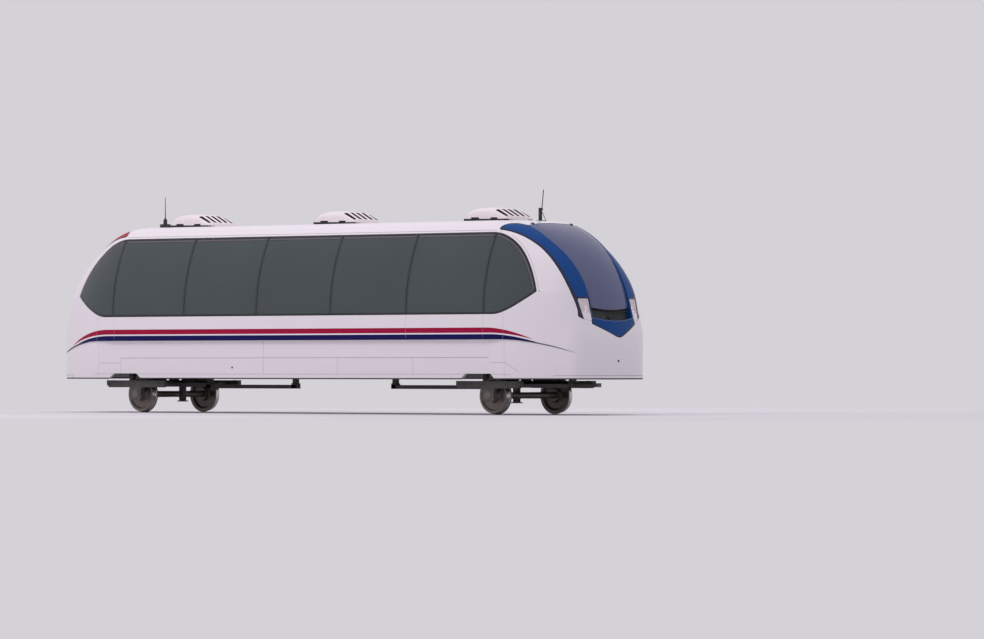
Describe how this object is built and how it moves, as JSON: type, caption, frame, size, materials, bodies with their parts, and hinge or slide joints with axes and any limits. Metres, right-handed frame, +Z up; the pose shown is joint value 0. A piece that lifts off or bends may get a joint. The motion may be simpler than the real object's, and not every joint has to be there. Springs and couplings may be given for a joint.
{
  "type": "pneumatic people mover rail car",
  "caption": "Rail people mover driven by air pressure, with a rounded nose at each end, tinted window bands, sliding doors on the left side, roof cooling units and short trucks.",
  "frame": {"origin": "on the ground under the middle of the car, midway between the wheelsets", "axes": "+X forward to the end with the blue mask, +Y to the left side with the doors, +Z up"},
  "size_m": [13.2, 2.8, 4.0413],
  "materials": {
    "white_paint": "gloss white paint",
    "blue_paint": "gloss royal blue paint",
    "red_paint": "gloss crimson paint",
    "tinted_glass": "dark grey-green tinted glass",
    "windscreen_glass": "grey-blue tinted glass",
    "lamp_lens": "clear lamp lens",
    "black_frame": "satin black paint, dusty",
    "wheel_steel": "machined steel, bright treads",
    "floor_cover": "speckled sheet flooring",
    "seat_shell": "moulded plastic",
    "rail_tube": "powder coated tube"
  },
  "bodies": {
    "car_body": {"underframe": "black_frame", "long_beam_right": "black_frame", "long_beam_left": "black_frame", "bolster_front": "black_frame", "bolster_rear": "black_frame", "low_bar_front": "black_frame", "low_bar_rear": "black_frame", "tow_bar_front": "black_frame", "tow_bar_rear": "black_frame", "floor": "floor_cover", "side_right": "white_paint", "side_left": "white_paint", "roof": "white_paint", "cowl_front": "white_paint", "cowl_rear": "white_paint", "mask_front": "blue_paint", "mask_rear": "red_paint", "windscreen_front": "windscreen_glass", "windscreen_rear": "windscreen_glass", "lamp_front_left": "lamp_lens", "lamp_front_right": "lamp_lens", "lamp_rear_left": "lamp_lens", "lamp_rear_right": "lamp_lens", "pane_right_1": "tinted_glass", "pane_right_2": "tinted_glass", "pane_right_3": "tinted_glass", "pane_right_4": "tinted_glass", "pane_right_5": "tinted_glass", "pane_right_6": "tinted_glass", "pane_right_7": "tinted_glass", "pane_left_1": "tinted_glass", "pane_left_2": "tinted_glass", "pane_left_4": "tinted_glass", "pane_left_6": "tinted_glass", "pane_left_7": "tinted_glass", "air_unit_rear": "white_paint", "air_unit_middle": "white_paint", "air_unit_front": "white_paint", "aerial_front": "black_frame", "aerial_rear": "black_frame", "bench_front": "seat_shell", "bench_rear": "seat_shell", "grab_rails": "rail_tube"},
    "truck_front": {"truck_front": "black_frame"},
    "truck_rear": {"truck_rear": "black_frame"},
    "wheelset_front": {"axle_front": "wheel_steel", "wheel_front_right": "wheel_steel", "wheel_front_left": "wheel_steel"},
    "wheelset_rear": {"axle_rear": "wheel_steel", "wheel_rear_right": "wheel_steel", "wheel_rear_left": "wheel_steel"},
    "front_door_front_leaf": {"door_front_leaf_front": "white_paint", "door_front_glass_front": "tinted_glass"},
    "front_door_rear_leaf": {"door_front_leaf_rear": "white_paint", "door_front_glass_rear": "tinted_glass"},
    "rear_door_front_leaf": {"door_rear_leaf_front": "white_paint", "door_rear_glass_front": "tinted_glass"},
    "rear_door_rear_leaf": {"door_rear_leaf_rear": "white_paint", "door_rear_glass_rear": "tinted_glass"}
  },
  "joints": [
    {"name": "truck_front_yaw", "type": "hinge", "parent": "car_body", "child": "truck_front", "pos_m": [4.405, 0, 0.6], "axis": [0, 0, 1], "range_deg": [-6, 6]},
    {"name": "truck_rear_yaw", "type": "hinge", "parent": "car_body", "child": "truck_rear", "pos_m": [-4.405, 0, 0.6], "axis": [0, 0, 1], "range_deg": [-6, 6]},
    {"name": "wheelset_front_spin", "type": "hinge", "parent": "truck_front", "child": "wheelset_front", "pos_m": [4.405, 0, 0.34205], "axis": [0, 1, 0], "continuous": true},
    {"name": "wheelset_rear_spin", "type": "hinge", "parent": "truck_rear", "child": "wheelset_rear", "pos_m": [-4.405, 0, 0.34205], "axis": [0, 1, 0], "continuous": true},
    {"name": "front_door_front_slide", "type": "slide", "parent": "car_body", "child": "front_door_front_leaf", "axis": [1, 0, 0], "range_m": [0, 0.86]},
    {"name": "front_door_rear_slide", "type": "slide", "parent": "car_body", "child": "front_door_rear_leaf", "axis": [-1, 0, 0], "range_m": [0, 0.86]},
    {"name": "rear_door_front_slide", "type": "slide", "parent": "car_body", "child": "rear_door_front_leaf", "axis": [1, 0, 0], "range_m": [0, 0.86]},
    {"name": "rear_door_rear_slide", "type": "slide", "parent": "car_body", "child": "rear_door_rear_leaf", "axis": [-1, 0, 0], "range_m": [0, 0.86]}
  ],
  "couplings": [
    {"joint": "front_door_rear_slide", "follows": "front_door_front_slide", "ratio": 1},
    {"joint": "rear_door_rear_slide", "follows": "rear_door_front_slide", "ratio": 1}
  ]
}
